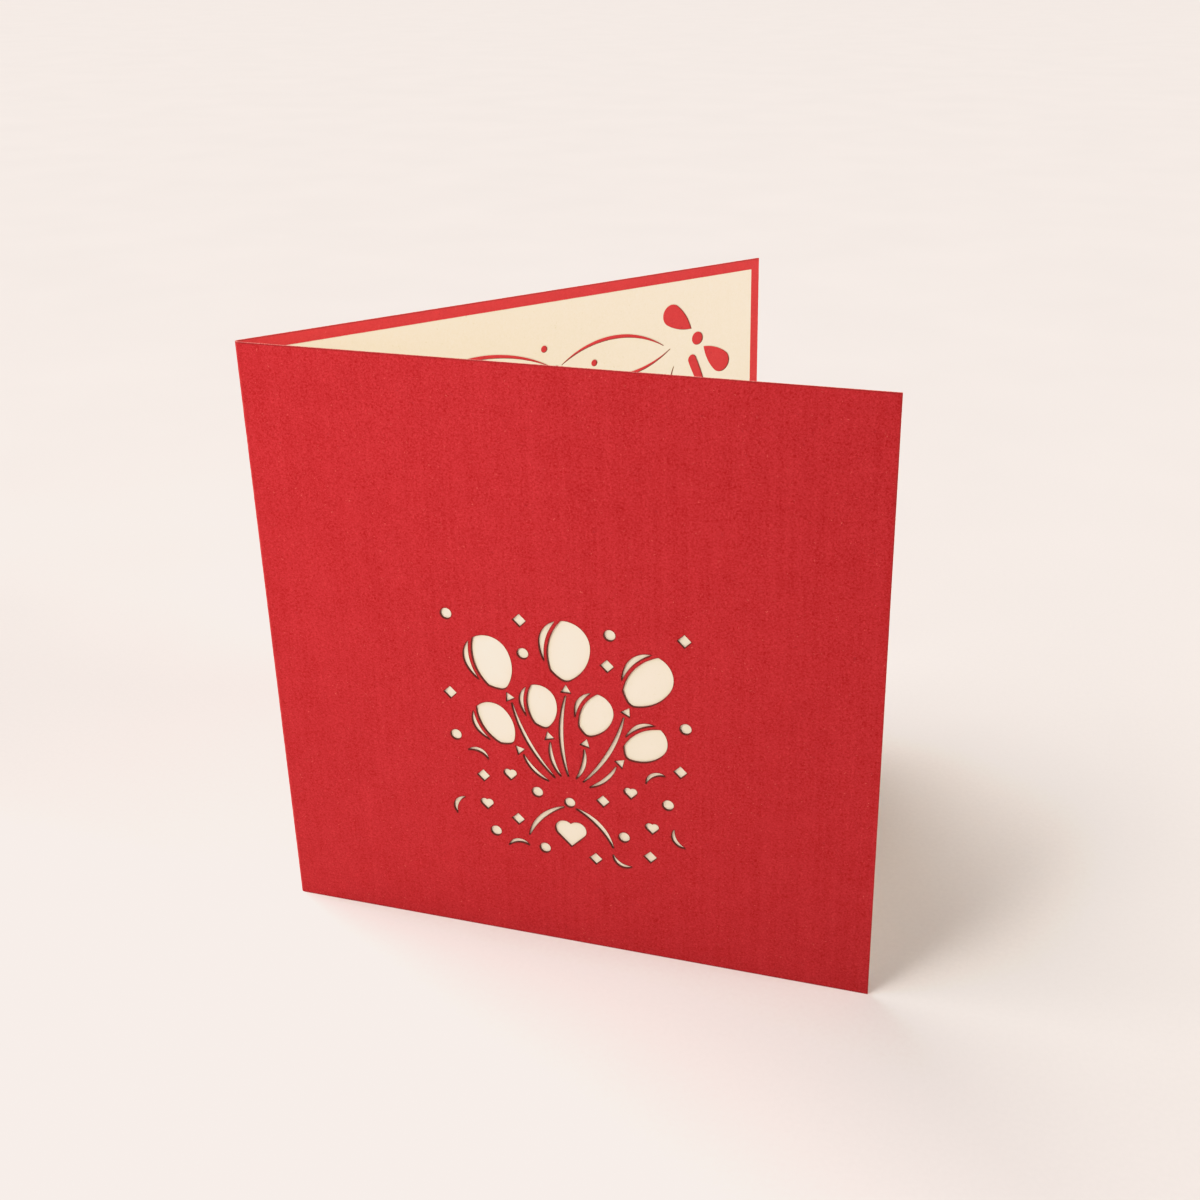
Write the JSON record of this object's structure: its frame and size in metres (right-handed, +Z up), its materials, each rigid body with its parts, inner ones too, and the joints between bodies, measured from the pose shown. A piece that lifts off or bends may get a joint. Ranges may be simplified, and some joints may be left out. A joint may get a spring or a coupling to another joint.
{
  "type": "greeting card",
  "caption": "Square folded greeting card standing open, red cover with cut-out windows over a cream liner glued inside.",
  "frame": {"origin": "on the ground at the middle of the standing card's bounding box", "axes": "+Z up, the front panel's outer face towards -Y, the fold at the -X side, the back panel turned 50 degrees away from the front one"},
  "size_m": [0.15, 0.1158, 0.15],
  "materials": {
    "cover_card": "matt red card with a fine fibre speckle",
    "liner_paper": "matt cream paper"
  },
  "bodies": {
    "root": {"cover": "cover_card", "liner": "liner_paper"}
  },
  "joints": []
}
